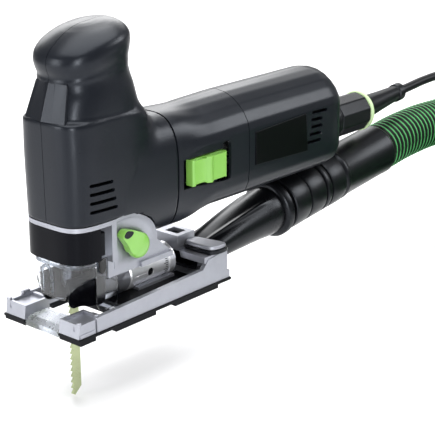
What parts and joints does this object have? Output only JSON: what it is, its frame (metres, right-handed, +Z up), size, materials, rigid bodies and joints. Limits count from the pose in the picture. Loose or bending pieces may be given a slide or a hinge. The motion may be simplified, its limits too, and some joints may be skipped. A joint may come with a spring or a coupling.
{
  "type": "jigsaw power tool",
  "caption": "Body-grip electric jigsaw with stroking blade, tilting sole plate, orbital roller, suction hose and detachable mains lead.",
  "frame": {"origin": "middle of the underside of the sole plate, on its centre line", "axes": "+X towards the motor and the hose, +Z up from the sole, +Y to the tool's right, blade near -X end"},
  "size_m": [0.7716, 0.4335, 0.2432],
  "materials": {
    "charcoal_housing": "satin moulded body shell",
    "black_plastic": "black moulding",
    "black_rubber": "matt rubber",
    "green_plastic": "bright green control moulding",
    "pale_green_plastic": "pale green ring",
    "cast_aluminium": "die cast and tumbled",
    "steel": "machined steel",
    "blade_steel": "coated blade with darker ground teeth",
    "copper": "copper segments",
    "bronze": "sintered bronze",
    "clear_plastic": "clear moulding",
    "hose_plastic": "ribbed flexible hose, dark with green ribs"
  },
  "bodies": {
    "base": {"base_table": "cast_aluminium", "sole_runner": "black_plastic", "chip_tray": "black_plastic", "clamp_block": "cast_aluminium", "extraction_tube": "black_plastic", "hose_cuff": "black_rubber", "hose": "hose_plastic", "hose_coil": "hose_plastic", "hose_tail": "hose_plastic", "hose_end_cuff": "black_rubber", "cable": "black_rubber", "cable_coil": "black_rubber", "mains_plug": "black_rubber"},
    "head": {"left_shell": "charcoal_housing", "right_shell": "charcoal_housing", "switch_housing": "charcoal_housing", "motor_housing": "charcoal_housing", "nameplate": "black_plastic", "gear_case": "cast_aluminium", "bevel_barrel": "cast_aluminium", "bearing_plate": "cast_aluminium", "upper_bush": "bronze", "lower_bush": "bronze", "front_bearing": "steel", "rear_bearing": "steel", "stator": "steel", "left_brush": "black_plastic", "right_brush": "black_plastic", "electronics_module": "black_plastic", "switch_body": "black_plastic", "cable_socket": "black_plastic", "indicator_ring": "pale_green_plastic", "bend_relief": "black_rubber", "fork_pin": "steel", "housing_screw_1": "steel", "housing_screw_2": "steel", "housing_screw_3": "steel"},
    "plunger_group": {"plunger": "steel", "blade_clamp": "steel", "blade": "blade_steel"},
    "gear_group": {"gear_wheel": "steel", "crank_pin": "steel"},
    "armature_group": {"armature_shaft": "steel", "armature_core": "steel", "commutator": "copper", "cooling_fan": "black_plastic"},
    "orbit_selector": {"orbit_knob": "green_plastic"},
    "switch_button": {"on_slider": "green_plastic"},
    "speed_wheel": {"speed_dial": "black_plastic"},
    "lead_lock_sleeve": {"lock_sleeve": "black_plastic"},
    "front_cover": {"blade_cover": "black_plastic"},
    "clear_guard": {"chip_guard": "clear_plastic"},
    "kerf_insert": {"splinter_guard": "clear_plastic"},
    "base_lock": {"clamp_lever": "cast_aluminium"},
    "hose_lock_sleeve": {"coupling_sleeve": "black_plastic"},
    "orbit_fork": {"roller_fork": "black_plastic", "roller_pin": "steel"},
    "roller": {"guide_roller": "steel"}
  },
  "joints": [
    {"name": "base_tilt", "type": "hinge", "parent": "base", "child": "head", "pos_m": [0.017, 0, 0.0185], "axis": [1, 0, 0], "range_deg": [-45, 45]},
    {"name": "plunger_stroke", "type": "slide", "parent": "head", "child": "plunger_group", "axis": [0, 0, 1], "range_m": [0, 0.026]},
    {"name": "crank_turn", "type": "hinge", "parent": "head", "child": "gear_group", "pos_m": [-0.027, 0, 0.1135], "axis": [1, 0, 0], "continuous": true},
    {"name": "motor_turn", "type": "hinge", "parent": "head", "child": "armature_group", "pos_m": [0.057, 0, 0.088], "axis": [1, 0, 0], "continuous": true},
    {"name": "cover_hinge", "type": "hinge", "parent": "head", "child": "front_cover", "pos_m": [-0.0396, -0.0238, 0.055], "axis": [0, 0, 1], "range_deg": [0, 95]},
    {"name": "guard_slide", "type": "slide", "parent": "head", "child": "clear_guard", "axis": [0, 0, 1], "range_m": [0, 0.012]},
    {"name": "orbit_select", "type": "hinge", "parent": "head", "child": "orbit_selector", "pos_m": [-0.0075, -0.022, 0.046], "axis": [0, 1, 0], "range_deg": [0, 50]},
    {"name": "orbit_swing", "type": "hinge", "parent": "head", "child": "orbit_fork", "pos_m": [-0.0265, 0, 0.026], "axis": [0, 1, 0], "range_deg": [-3, 0]},
    {"name": "roller_turn", "type": "hinge", "parent": "orbit_fork", "child": "roller", "pos_m": [-0.0337, 0, 0.0135], "axis": [0, 1, 0], "continuous": true},
    {"name": "switch_slide", "type": "slide", "parent": "head", "child": "switch_button", "axis": [-1, 0, 0], "range_m": [0, 0.005]},
    {"name": "speed_turn", "type": "hinge", "parent": "head", "child": "speed_wheel", "pos_m": [0.183, 0.0214, 0.102], "axis": [0, 0, 1], "range_deg": [0, 270]},
    {"name": "lead_lock", "type": "hinge", "parent": "head", "child": "lead_lock_sleeve", "pos_m": [0.242, 0, 0.077], "axis": [1, 0, 0], "range_deg": [0, 45]},
    {"name": "kerf_slide", "type": "slide", "parent": "base", "child": "kerf_insert", "axis": [-1, 0, 0], "range_m": [0, 0.012]},
    {"name": "base_lock_swing", "type": "hinge", "parent": "base", "child": "base_lock", "pos_m": [0.0565, -0.014, 0.027], "axis": [0, 0, 1], "range_deg": [0, 40]},
    {"name": "hose_lock", "type": "hinge", "parent": "base", "child": "hose_lock_sleeve", "pos_m": [0.16, 0, 0.025], "axis": [0.9935, 0, 0.1142], "range_deg": [0, 60]}
  ],
  "couplings": [
    {"joint": "motor_turn", "follows": "crank_turn", "ratio": -7.5}
  ]
}
